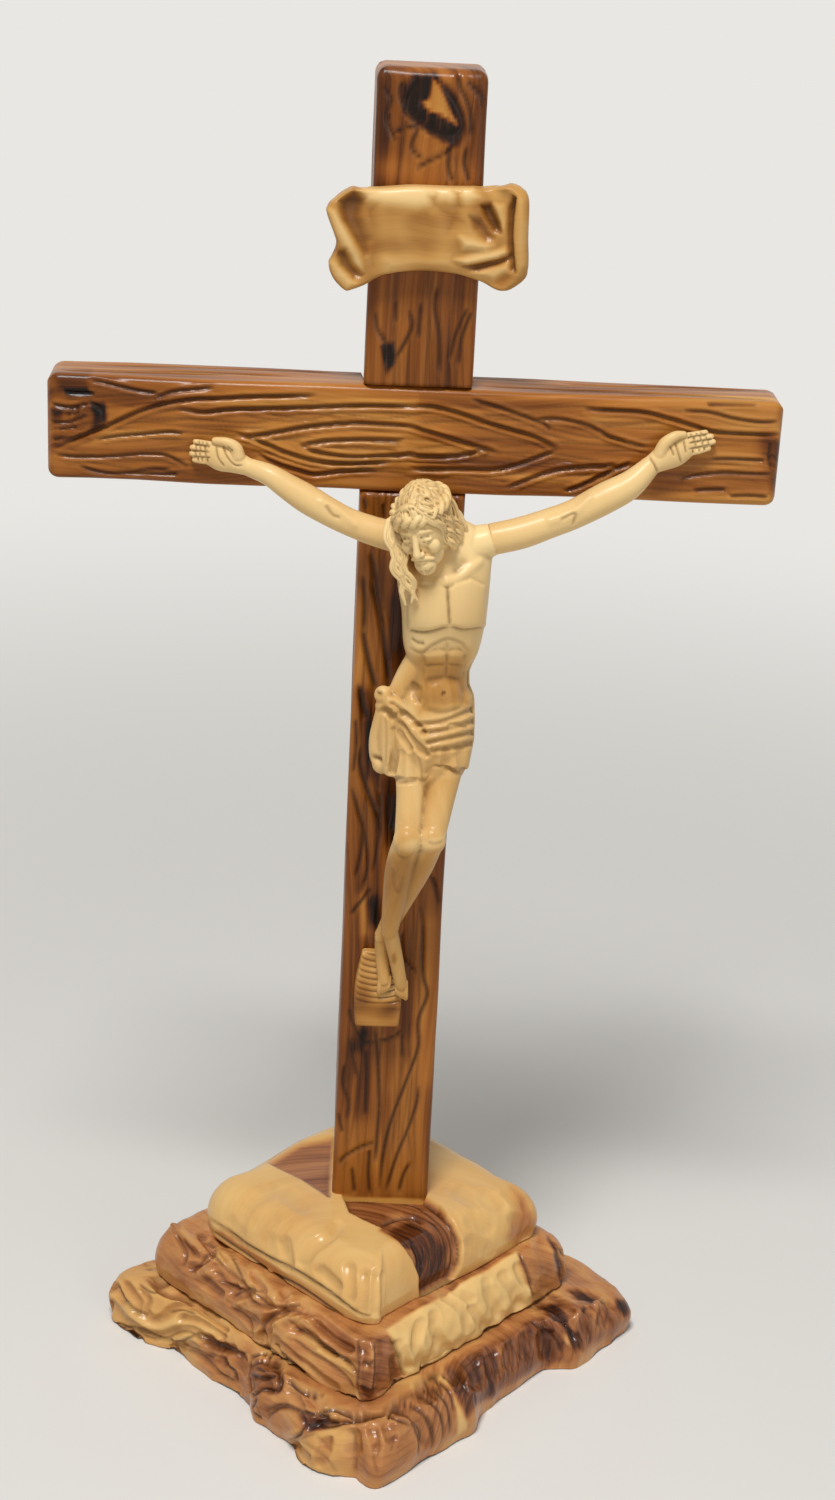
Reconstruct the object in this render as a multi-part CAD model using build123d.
"""Standing crucifix of carved wood: a stepped rock base, a lapped cross, a title scroll and a pale figure.

Frame: +Z up, the figure faces -Y, and the origin is the centre of the base's underside. Millimetres.
Right and left are the figure's own, so its right arm reaches towards -X.
"""
import math
import os

from build123d import *

# Cross
beam_width = 45.0            # face width of the upright, and height of the crossbeam
beam_depth = 28.0            # front to back, the same for both beams
cross_top = 605.0            # top of the upright above the table
crossbeam_length = 310.0
crossbeam_underside = 430.0  # lower edge of the crossbeam above the table
beam_corner_round = 5.0      # round of the corners of each beam's front outline
lap_depth = 14.0             # how far the crossbeam is let into the front of the upright

# Base: three carved boards, each a square set cornerwise under the cross
bottom_tier_height = 27.0
middle_tier_height = 27.0
top_tier_height = 28.0
bottom_half_diagonal = 132.0
middle_half_diagonal = 104.5
top_half_diagonal = 84.0
middle_tier_shift = -6.0     # how far the upper two boards sit to the right-hand side of the figure
top_tier_shift = -2.5
corner_cut = 5.0             # length taken off each side at a tier's corners
bottom_edge_drop = 19.0      # each tier's upper edge is a quarter oval: how far it drops
middle_edge_drop = 20.0
top_edge_drop = 22.0
bottom_edge_inset = 13.0     # and how far in it reaches
middle_edge_inset = 16.0
top_edge_inset = 22.0
tier_undercut = 1.5          # how far the foot of a tier is drawn in

# Joinery
tenon_width = 28.0
tenon_depth = 16.0
tenon_length = 43.0
mortise_gap = 0.15           # all round the tenon and below it
glue_gap = 0.1               # radial gap round a dowel or a screw
upright_screw_radius = 3.0
upright_screw_bite = 22.0    # length of the screw inside the tenon
washer_radius = 9.0
washer_thickness = 2.0
washer_recess_depth = 8.0    # counterbore in the underside, deep enough to hide the head
tier_screw_radius = 2.0
tier_screw_ring = 58.0       # distance of the tier screws from the centre
tier_screw_bite = 16.0       # length of a tier screw inside the middle tier
tier_screw_sink = 1.5        # how far a tier screw's head lies below the underside
tier_dowel_radius = 4.0
tier_dowel_length = 30.0
tier_dowel_ring = 40.0       # distance of the tier dowels from the centre, on the sides' middle lines
lap_dowel_radius = 3.0
lap_dowel_length = 22.0
lap_dowel_spacing = 20.0
small_dowel_radius = 2.0     # behind the scroll, the hands and the foot block
small_dowel_length = 10.0
body_screw_radius = 2.0
body_screw_bite = 14.0       # length of the screw inside the figure's back
body_screw_rise = -44.0      # height above the crossbeam's underside
screw_head_ratio = 2.0       # countersunk head radius over shank radius

# Title scroll
scroll_length = 80.0
scroll_waist = 34.0          # height at the middle
scroll_flare = 42.0          # height near the ends
scroll_drop = 2.0            # how far its middle lies below the middle of the upper arm
scroll_thickness = 8.0
scroll_roll_radius = 4.5     # the rolled right-hand edge
scroll_flare_inset = 8.0     # from each end to where the sheet is tallest
scroll_notch = 4.0           # depth of the dip in the left-hand edge
scroll_dowel_spacing = 20.0

# Foot block
foot_block_centre = -5.5     # sideways, from the upright's centre line
foot_block_width = 20.0
foot_block_top = -216.0      # above the crossbeam's underside
foot_block_height = 34.0
foot_block_top_depth = 5.0
foot_block_bottom_depth = 14.0

# Figure
shoulder_dowel_radius = 2.5
shoulder_dowel_length = 14.0
head_width = 21.0
head_depth = 25.0
head_height = 32.0
hair_thickness = 2.8
head_bow = 26.0              # degrees that the head nods forward
head_turn = 24.0             # degrees that it turns to its right
head_tilt = 13.0             # degrees that it leans to its right

front = -beam_depth / 2
back = beam_depth / 2
base_top = bottom_tier_height + middle_tier_height + top_tier_height
upright_span = cross_top - base_top
crossbeam_middle = crossbeam_underside + beam_width / 2
crossbeam_top = crossbeam_underside + beam_width
scroll_centre_height = (crossbeam_top + cross_top) / 2 - scroll_drop


def at(across, out, rise):
    """A point of the figure.

    It lies so far across from the upright's centre line, out from the beams' front and up from the crossbeam's
    underside.
    """
    return Vector(across, front - out, crossbeam_underside + rise)


def rod(start, end, radius):
    """A plain cylinder between two points."""
    start, end = Vector(*start), Vector(*end)
    along = end - start
    return Plane(origin=start, z_dir=along) * Cylinder(
        radius, along.length, align=(Align.CENTER, Align.CENTER, Align.MIN)
    )


def wood_screw(head, tip, radius):
    """A countersunk screw: a conical head at the head point, a straight shank and a pointed tip."""
    head, tip = Vector(*head), Vector(*tip)
    way = tip - head
    head_length = radius * screw_head_ratio - radius
    point_length = 2 * radius
    profile = make_face(Polyline(
        (0, 0), (radius * screw_head_ratio, 0), (radius, head_length),
        (radius, way.length - point_length), (0, way.length), close=True,
    ))
    return Plane(origin=head, z_dir=way) * revolve(Plane.XZ * profile, Axis.Z)


def screw_hole(head, tip, radius):
    """The hole for a wood screw: its own shape with the glue gap all round, open behind the head."""
    head, tip = Vector(*head), Vector(*tip)
    way = (tip - head).normalized()
    hole = rod(head - way * radius, tip + way * glue_gap, radius + glue_gap)
    cone_length = radius * screw_head_ratio - radius
    cone = Plane(origin=head, z_dir=way) * Cone(
        radius * screw_head_ratio + glue_gap, radius + glue_gap, cone_length,
        align=(Align.CENTER, Align.CENTER, Align.MIN),
    )
    return hole + cone


def oval(centre, along, across, half_width, half_depth):
    """An elliptical section at a point, square to a direction, with its width laid across."""
    return Plane(origin=centre, x_dir=across, z_dir=along) * Ellipse(half_width, half_depth)


def limb(stations):
    """A smooth solid through round sections, each a point and a radius, square to the line at that point."""
    points = [point for point, _ in stations]
    sections = []
    for i, (point, radius) in enumerate(stations):
        along = points[min(i + 1, len(points) - 1)] - points[max(i - 1, 0)]
        sections.append(Plane(origin=point, z_dir=along) * Circle(radius))
    return loft(sections)


def egg(width, depth, height):
    """An ellipsoid of those full sizes about the origin."""
    return scale(Sphere(0.5), by=(width, depth, height))


# Base

def rock_outline(half_diagonal, facets):
    """A square set cornerwise, as points round from the right corner, with each side broken into facets.

    A facet is (share of the side, how far it stands out), and the four sides take the four lists in turn.
    """
    corners = [(half_diagonal, 0), (0, half_diagonal), (-half_diagonal, 0), (0, -half_diagonal)]
    length = half_diagonal * math.sqrt(2)
    cut_share = corner_cut / length
    points = []
    for side, steps in enumerate(facets):
        ax, ay = corners[side]
        bx, by = corners[(side + 1) % 4]
        out_x, out_y = (by - ay) / length, (ax - bx) / length
        for share, out in [(cut_share, 0), *steps, (1 - cut_share, 0)]:
            points.append((ax + (bx - ax) * share + out_x * out, ay + (by - ay) * share + out_y * out))
    return points


def moved_in(points, half_diagonal, distance):
    """The same outline drawn in towards the centre, so that its corners lie that distance further in."""
    ratio = (half_diagonal - distance) / half_diagonal
    return [(x * ratio, y * ratio) for x, y in points]


def rock_tier(floor, height, half_diagonal, shift, edge_drop, edge_inset, facets):
    """A carved board with a broken outline and a rounded upper edge, flat above and below."""
    outline = rock_outline(half_diagonal, facets)
    levels = [(floor, tier_undercut)]
    for angle in (0, 22.5, 45, 67.5, 90):
        lift = 1 - math.sin(math.radians(angle))
        inset = 1 - math.cos(math.radians(angle))
        levels.append((floor + height - edge_drop * lift, edge_inset * inset))
    sections = [
        make_face(Plane.XY.offset(z) * Polyline(*moved_in(outline, half_diagonal, inset), close=True))
        for z, inset in levels
    ]
    return Pos(shift, 0, 0) * loft(sections, ruled=True)


bottom_facets = [
    [(0.18, 3), (0.32, -5), (0.50, 2), (0.66, -4), (0.84, 3)],
    [(0.15, -4), (0.36, 4), (0.52, -3), (0.70, 4), (0.86, -3)],
    [(0.14, 2), (0.25, -5), (0.44, -6), (0.50, -6), (0.60, 5), (0.68, 3), (0.82, 7), (0.91, 0)],
    [(0.28, 1), (0.35, 2), (0.42, -6), (0.68, -8), (0.74, 2), (0.90, 1)],
]
middle_facets = [
    [(0.22, 2), (0.48, -2), (0.74, 2)],
    [(0.20, -2), (0.46, 2), (0.76, -1)],
    [(0.14, 1), (0.48, 2), (0.55, 4), (0.78, 4)],
    [(0.10, 1), (0.15, -1), (0.34, 0), (0.72, 0), (0.90, 1)],
]
top_facets = [
    [(0.16, -2), (0.50, 2), (0.82, -1)],
    [(0.18, 0), (0.52, 2), (0.84, -2)],
    [(0.10, 3), (0.50, 4), (0.86, 3)],
    [(0.08, -4), (0.26, -4), (0.34, -2), (0.52, -1), (0.86, -1)],
]

middle_floor = bottom_tier_height
top_floor = bottom_tier_height + middle_tier_height


def ring(radius, first_angle):
    """Four points on a circle round the centre, a quarter turn apart."""
    angles = [math.radians(first_angle + 90 * i) for i in range(4)]
    return [(radius * math.cos(angle), radius * math.sin(angle)) for angle in angles]


tier_screw_spots = ring(tier_screw_ring, 0)
tier_dowel_spots = ring(tier_dowel_ring, 45)
tier_screw_tip = bottom_tier_height + tier_screw_bite
tenon_floor = base_top - tenon_length
mortise_floor = tenon_floor - mortise_gap
upright_screw_tip = tenon_floor + upright_screw_bite
tier_dowel_floor = top_floor - tier_dowel_length / 2

tier_screws = [
    wood_screw((x, y, tier_screw_sink), (x, y, tier_screw_tip), tier_screw_radius)
    for x, y in tier_screw_spots
]
tier_screw_holes = [
    screw_hole((x, y, tier_screw_sink), (x, y, tier_screw_tip), tier_screw_radius)
    for x, y in tier_screw_spots
]
tier_screw_wells = [
    rod((x, y, -tier_screw_radius), (x, y, tier_screw_sink), tier_screw_radius * screw_head_ratio + glue_gap)
    for x, y in tier_screw_spots
]
tier_dowels = [
    rod((x, y, tier_dowel_floor), (x, y, tier_dowel_floor + tier_dowel_length), tier_dowel_radius)
    for x, y in tier_dowel_spots
]
tier_dowel_holes = [
    rod((x, y, tier_dowel_floor - glue_gap), (x, y, tier_dowel_floor + tier_dowel_length + glue_gap),
        tier_dowel_radius + glue_gap)
    for x, y in tier_dowel_spots
]
mortise = Pos(0, 0, mortise_floor) * Box(
    tenon_width + 2 * mortise_gap, tenon_depth + 2 * mortise_gap, cross_top,
    align=(Align.CENTER, Align.CENTER, Align.MIN),
)

upright_screw_head = washer_recess_depth - washer_thickness
upright_screw_head_radius = upright_screw_radius * screw_head_ratio
washer_recess = rod((0, 0, 0), (0, 0, washer_recess_depth), washer_radius + glue_gap)
upright_screw_hole = rod((0, 0, 0), (0, 0, upright_screw_tip + glue_gap), upright_screw_radius + glue_gap)
upright_washer = (
    rod((0, 0, upright_screw_head), (0, 0, washer_recess_depth), washer_radius)
    - rod((0, 0, 0), (0, 0, washer_recess_depth), upright_screw_radius + glue_gap)
)
upright_screw = (
    rod((0, 0, upright_screw_head), (0, 0, upright_screw_tip), upright_screw_radius)
    + rod((0, 0, upright_screw_head - upright_screw_radius), (0, 0, upright_screw_head),
          upright_screw_head_radius)
)

base_bottom_tier = (
    rock_tier(0, bottom_tier_height, bottom_half_diagonal, 0,
              bottom_edge_drop, bottom_edge_inset, bottom_facets)
    - washer_recess - upright_screw_hole - tier_screw_holes - tier_screw_wells
)
base_middle_tier = (
    rock_tier(middle_floor, middle_tier_height, middle_half_diagonal, middle_tier_shift,
              middle_edge_drop, middle_edge_inset, middle_facets)
    - mortise - upright_screw_hole - tier_screw_holes - tier_dowel_holes
)
base_top_tier = (
    rock_tier(top_floor, top_tier_height, top_half_diagonal, top_tier_shift,
              top_edge_drop, top_edge_inset, top_facets)
    - mortise - tier_dowel_holes
)

# Cross

lap_floor = front + lap_depth
lap_dowel_spots = [(side * lap_dowel_spacing / 2, crossbeam_middle) for side in (-1, 1)]
lap_dowels = [rod((x, back - lap_dowel_length, z), (x, back, z), lap_dowel_radius) for x, z in lap_dowel_spots]
lap_dowel_holes = [
    rod((x, back - lap_dowel_length - glue_gap, z), (x, back + glue_gap, z), lap_dowel_radius + glue_gap)
    for x, z in lap_dowel_spots
]
scroll_dowel_spots = [(side * scroll_dowel_spacing / 2, scroll_centre_height) for side in (-1, 1)]
hand_spots = [(-77.0, crossbeam_underside + 14.0), (109.0, crossbeam_underside + 23.0)]
foot_block_dowel_height = crossbeam_underside + foot_block_top - foot_block_height * 0.6
foot_block_spots = [(foot_block_centre, foot_block_dowel_height)]


def face_dowels(spots):
    """Small dowels across the beams' front face, half in the beam and half in what it carries."""
    half = small_dowel_length / 2
    return [rod((x, front - half, z), (x, front + half, z), small_dowel_radius) for x, z in spots]


def face_dowel_holes(spots):
    """The blind holes for those dowels."""
    half = small_dowel_length / 2 + glue_gap
    return [rod((x, front - half, z), (x, front + half, z), small_dowel_radius + glue_gap) for x, z in spots]


scroll_dowels = face_dowels(scroll_dowel_spots)
scroll_dowel_holes = face_dowel_holes(scroll_dowel_spots)
hand_dowels = face_dowels(hand_spots)
hand_dowel_holes = face_dowel_holes(hand_spots)
foot_block_dowel = face_dowels(foot_block_spots)
foot_block_dowel_hole = face_dowel_holes(foot_block_spots)

body_screw_across = 14.0
body_screw_head = (body_screw_across, back, crossbeam_underside + body_screw_rise)
body_screw_tip = (body_screw_across, front - body_screw_bite, crossbeam_underside + body_screw_rise)
body_screw = wood_screw(body_screw_head, body_screw_tip, body_screw_radius)
body_screw_hole = screw_hole(body_screw_head, body_screw_tip, body_screw_radius)


def beam(width, height, middle):
    """A squared bar seen from the front, with its four outline corners rounded."""
    outline = Plane.XZ * RectangleRounded(width, height, beam_corner_round)
    return Pos(0, back, middle) * extrude(outline, beam_depth)


upright = beam(beam_width, upright_span, base_top + upright_span / 2)
foot_square = Pos(0, 0, base_top) * Box(
    beam_width, beam_depth, 2 * beam_corner_round, align=(Align.CENTER, Align.CENTER, Align.MIN)
)
tenon = Pos(0, 0, tenon_floor) * Box(
    tenon_width, tenon_depth, tenon_length, align=(Align.CENTER, Align.CENTER, Align.MIN)
)
upright_lap = Pos(0, front, crossbeam_middle) * Box(
    2 * beam_width, 2 * lap_depth, beam_width
)
upright = (
    upright + foot_square + tenon - upright_lap - upright_screw_hole - lap_dowel_holes
    - scroll_dowel_holes - foot_block_dowel_hole - body_screw_hole
)

crossbeam_lap = Pos(0, lap_floor, crossbeam_middle) * Box(
    beam_width, 2 * beam_depth, 2 * beam_width, align=(Align.CENTER, Align.MIN, Align.CENTER)
)
crossbeam = (
    beam(crossbeam_length, beam_width, crossbeam_middle)
    - crossbeam_lap - lap_dowel_holes - hand_dowel_holes
)

# Title scroll

scroll_end = scroll_length / 2
flare_spot = scroll_end - scroll_flare_inset
notch_spot = scroll_end - scroll_notch
scroll_high = scroll_flare / 2
scroll_low = scroll_waist / 2
scroll_edges = [
    Spline((-flare_spot, scroll_high), (0, scroll_low), (flare_spot, scroll_high)),
    Polyline((flare_spot, scroll_high), (scroll_end, scroll_high * 0.7),
             (scroll_end, -scroll_high * 0.7), (flare_spot, -scroll_high)),
    Spline((flare_spot, -scroll_high), (0, -scroll_low), (-flare_spot, -scroll_high)),
    Polyline((-flare_spot, -scroll_high), (-scroll_end, -scroll_high * 0.7), (-notch_spot, 0),
             (-scroll_end, scroll_high * 0.5), (-flare_spot, scroll_high)),
]
scroll_sheet = extrude(Plane.XZ * make_face(scroll_edges), scroll_thickness)
roll_place = scroll_end - scroll_roll_radius
scroll_roll = rod((roll_place, -scroll_thickness, -scroll_high * 0.9),
                  (roll_place, -scroll_thickness, scroll_high * 0.9), scroll_roll_radius)
title_scroll = Pos(0, front, scroll_centre_height) * (scroll_sheet + scroll_roll) - scroll_dowel_holes

# Foot block: a wedge whose sloping front carries the feet

block_low = foot_block_top - foot_block_height
block_side = Polyline(
    (front, crossbeam_underside + foot_block_top),
    (front - foot_block_top_depth, crossbeam_underside + foot_block_top),
    (front - foot_block_bottom_depth, crossbeam_underside + block_low),
    (front, crossbeam_underside + block_low),
    close=True,
)
foot_block = Pos(foot_block_centre, 0, 0) * extrude(
    Plane.YZ * make_face(block_side), foot_block_width / 2, both=True
) - foot_block_dowel_hole

# Figure

behind_beams = Pos(0, front, crossbeam_underside) * Box(
    2 * crossbeam_length, 4 * beam_depth, 2 * cross_top, align=(Align.CENTER, Align.MIN, Align.CENTER)
)

# Each arm: points and radii from the shoulder seam to the middle of the palm, then the knuckles and fingertips.
right_arm_line = [(at(-6, 15, -15.5), 6.6), (at(-18, 14.5, -11.5), 6.2), (at(-38, 12, -4.6), 5.2),
                  (at(-51, 10, 1), 5.5), (at(-70, 6.5, 9.5), 4.2), (at(-77, 4.8, 13), 3.6)]
right_knuckles = at(-84, 3.6, 16)
right_fingertips = at(-94, 2.0, 18)
left_arm_line = [(at(34, 15, -14.5), 6.8), (at(46, 14.5, -11), 6.6), (at(67.5, 12, -3), 5.7),
                 (at(81, 10, 4), 5.9), (at(100, 6.5, 14.5), 4.5), (at(109, 4.8, 21), 3.7)]
left_knuckles = at(116, 3.6, 25)
left_fingertips = at(126, 2.0, 29)


def finger(root, tip, root_radius, tip_radius):
    """A tapered finger with a round end, turned about its own line."""
    way = Vector(*tip) - Vector(*root)
    length = way.length
    bevel = tip_radius * math.sin(math.radians(45))
    edges = [
        Polyline((0, length + tip_radius), (0, 0), (root_radius, 0), (tip_radius, length)),
        ThreePointArc((tip_radius, length), (bevel, length + bevel), (0, length + tip_radius)),
    ]
    return Plane(origin=root, z_dir=way) * revolve(Plane.XZ * make_face(edges), Axis.Z)


def arm(line, knuckles, fingertips, thumb_side):
    """An arm with an open hand, its back planed flat where it lies on the crossbeam."""
    palm = line[-1][0]
    facing = Vector(0, -1, 0)
    way = (fingertips - knuckles).normalized()
    spread = way.cross(facing).normalized()
    palm_place = Plane(origin=palm, x_dir=spread, z_dir=knuckles - palm)
    pieces = [palm_place * egg(16.5, 10.0, 20.0)]
    for place, share in ((-4.7, 0.84), (-1.6, 1.0), (1.5, 1.0), (4.6, 0.86)):
        root = knuckles + spread * place - way * 4
        tip = knuckles + spread * place + (fingertips - knuckles) * share
        pieces.append(finger(root, tip, 2.1, 1.5))
    ball = palm + spread * (5.0 * thumb_side) + facing * 2 - way * 3
    thumb_tip = knuckles + spread * (1.0 * thumb_side) + facing * 3
    pieces.append(finger(ball, thumb_tip, 2.9, 1.8))
    shape = limb(line)
    for piece in pieces:
        shape = shape + piece
    return shape - behind_beams


right_arm = arm(right_arm_line, right_knuckles, right_fingertips, 1)
left_arm = arm(left_arm_line, left_knuckles, left_fingertips, -1)


def shoulder_frame(line):
    """The plane of the shoulder seam, facing along the arm."""
    return Plane(origin=line[0][0], z_dir=line[1][0] - line[0][0])


def shoulder_dowel(line, spare):
    """A dowel across a shoulder seam, or its hole when there is some spare room round it."""
    seam = shoulder_frame(line)
    return seam * Cylinder(shoulder_dowel_radius + spare, shoulder_dowel_length + 2 * spare)


def shoulder_room(line):
    """The space in front of a shoulder seam that the arm takes up and the trunk leaves free."""
    radius = line[0][1]
    return shoulder_frame(line) * Box(
        4 * radius, 3 * radius, 3 * radius, align=(Align.CENTER, Align.CENTER, Align.MIN)
    )


shoulder_dowels = [shoulder_dowel(line, 0) for line in (right_arm_line, left_arm_line)]
shoulder_dowel_holes = [shoulder_dowel(line, glue_gap) for line in (right_arm_line, left_arm_line)]
figure_right_arm = right_arm - hand_dowel_holes - shoulder_dowel_holes
figure_left_arm = left_arm - hand_dowel_holes - shoulder_dowel_holes

# Trunk: sections from the loins up to the base of the neck, as across, out, rise, half width and half depth.
trunk_line = [
    (12.5, 13.0, -118, 14.5, 12.5), (13.0, 13.5, -98, 16.5, 14.0), (14.0, 13.5, -74, 14.0, 13.0),
    (14.8, 14.5, -58, 16.5, 14.8), (15.0, 15.5, -44, 18.5, 16.3), (14.0, 15.5, -30, 20.0, 15.8),
    (14.0, 15.0, -17, 20.0, 11.0), (13.0, 16.0, -8, 9.0, 8.0),
]
cloth_line = [
    (11.5, 14.0, -117, 17.0, 15.0), (12.5, 14.5, -102, 18.5, 16.3), (13.0, 14.0, -87, 17.5, 15.0),
]


def stack(line):
    """A smooth solid through level oval sections."""
    return loft([oval(at(a, o, r), (0, 0, 1), (1, 0, 0), w, d) for a, o, r, w, d in line])


trunk = stack(trunk_line)
cloth = stack(cloth_line)
cloth_knot = Pos(at(-9, 20, -86)) * Sphere(5.5)
cloth_tail = limb([(at(-8, 20, -86), 4.5), (at(-7.5, 19.5, -102), 5.0), (at(-8, 18.5, -118), 6.0)])

head_centre = at(4.5, 28, -6)
head_place = (
    Location(head_centre) * Rotation(0, 0, -head_turn) * Rotation(0, -head_tilt, 0) * Rotation(head_bow, 0, 0)
)
skull = head_place * egg(head_width, head_depth, head_height)
hair = head_place * Pos(0, 2.2, 3.5) * egg(
    head_width + 2 * hair_thickness, head_depth + hair_thickness, head_height - hair_thickness
)
beard = head_place * Pos(0, -8.5, -12.5) * egg(10, 9, 13)
neck = limb([(at(13.5, 15, -20), 9.0), (at(10, 20, -12), 8.0), (at(6, 26, -6), 7.5)])
right_lock = limb([(at(-4.5, 32, -4), 5.0), (at(-4.5, 31, -18), 4.2), (at(-1, 29, -34), 2.5)])
left_lock = limb([(at(14, 26, -4), 5.0), (at(19, 22, -13), 4.5), (at(22, 20, -19), 3.0)])

# Legs: hip to knee, knee to ankle, ankle to toes, with the right leg in front of the left.
right_thigh = limb([(at(4.5, 15, -108), 9.0), (at(4, 26, -127), 7.0), (at(3.2, 37, -145), 6.0)])
left_thigh = limb([(at(20.5, 15, -108), 9.0), (at(17.5, 25, -127), 7.2), (at(14, 35, -145), 6.0)])
right_knee = Pos(at(3.2, 37, -145)) * Sphere(6.4)
left_knee = Pos(at(14, 35, -145)) * Sphere(6.4)
right_shin = limb([(at(3.2, 37, -145), 5.9), (at(0.5, 29, -164), 6.2), (at(-2, 19.5, -198), 3.9)])
left_shin = limb([(at(14, 35, -145), 5.9), (at(8, 25, -166), 6.2), (at(-6.5, 12.5, -204), 3.9)])
right_foot = limb([(at(-2, 19.5, -197), 4.4), (at(1, 15.5, -211), 5.2), (at(4.5, 13, -230), 4.6)])
left_foot = limb([(at(-6.5, 12.5, -203), 4.4), (at(-5.5, 10.5, -214), 5.0), (at(-4.5, 12, -230), 4.6)])

block_slope = (foot_block_bottom_depth - foot_block_top_depth) / foot_block_height
block_room_depth = foot_block_bottom_depth + block_slope * foot_block_height
block_room = Pos(foot_block_centre, 0, 0) * extrude(Plane.YZ * make_face(Polyline(
    (front, crossbeam_underside + foot_block_top),
    (front - foot_block_top_depth, crossbeam_underside + foot_block_top),
    (front - block_room_depth, crossbeam_underside + block_low - foot_block_height),
    (front, crossbeam_underside + block_low - foot_block_height),
    close=True,
)), 2 * foot_block_width, both=True)

figure_body = trunk.fuse(
    cloth, cloth_knot, cloth_tail, neck, skull, hair, beard, right_lock, left_lock,
    right_thigh, left_thigh, right_knee, left_knee, right_shin, left_shin, right_foot, left_foot,
)
figure_body = (
    figure_body - behind_beams - block_room - body_screw_hole - shoulder_dowel_holes
    - shoulder_room(right_arm_line) - shoulder_room(left_arm_line)
)

# One file a node, named as in the record.

nodes = {
    "base_bottom_tier": base_bottom_tier,
    "base_middle_tier": base_middle_tier,
    "base_top_tier": base_top_tier,
    "tier_screws": Compound(children=tier_screws),
    "tier_dowels": Compound(children=tier_dowels),
    "upright": upright,
    "upright_screw": upright_screw,
    "upright_washer": upright_washer,
    "crossbeam": crossbeam,
    "lap_dowels": Compound(children=lap_dowels),
    "title_scroll": title_scroll,
    "scroll_dowels": Compound(children=scroll_dowels),
    "figure_body": figure_body,
    "figure_right_arm": figure_right_arm,
    "figure_left_arm": figure_left_arm,
    "shoulder_dowels": Compound(children=shoulder_dowels),
    "hand_dowels": Compound(children=hand_dowels),
    "body_screw": body_screw,
    "foot_block": foot_block,
    "foot_block_dowel": Compound(children=foot_block_dowel),
}
os.makedirs("parts", exist_ok=True)
for name, shape in nodes.items():
    export_step(shape, f"parts/{name}.step")
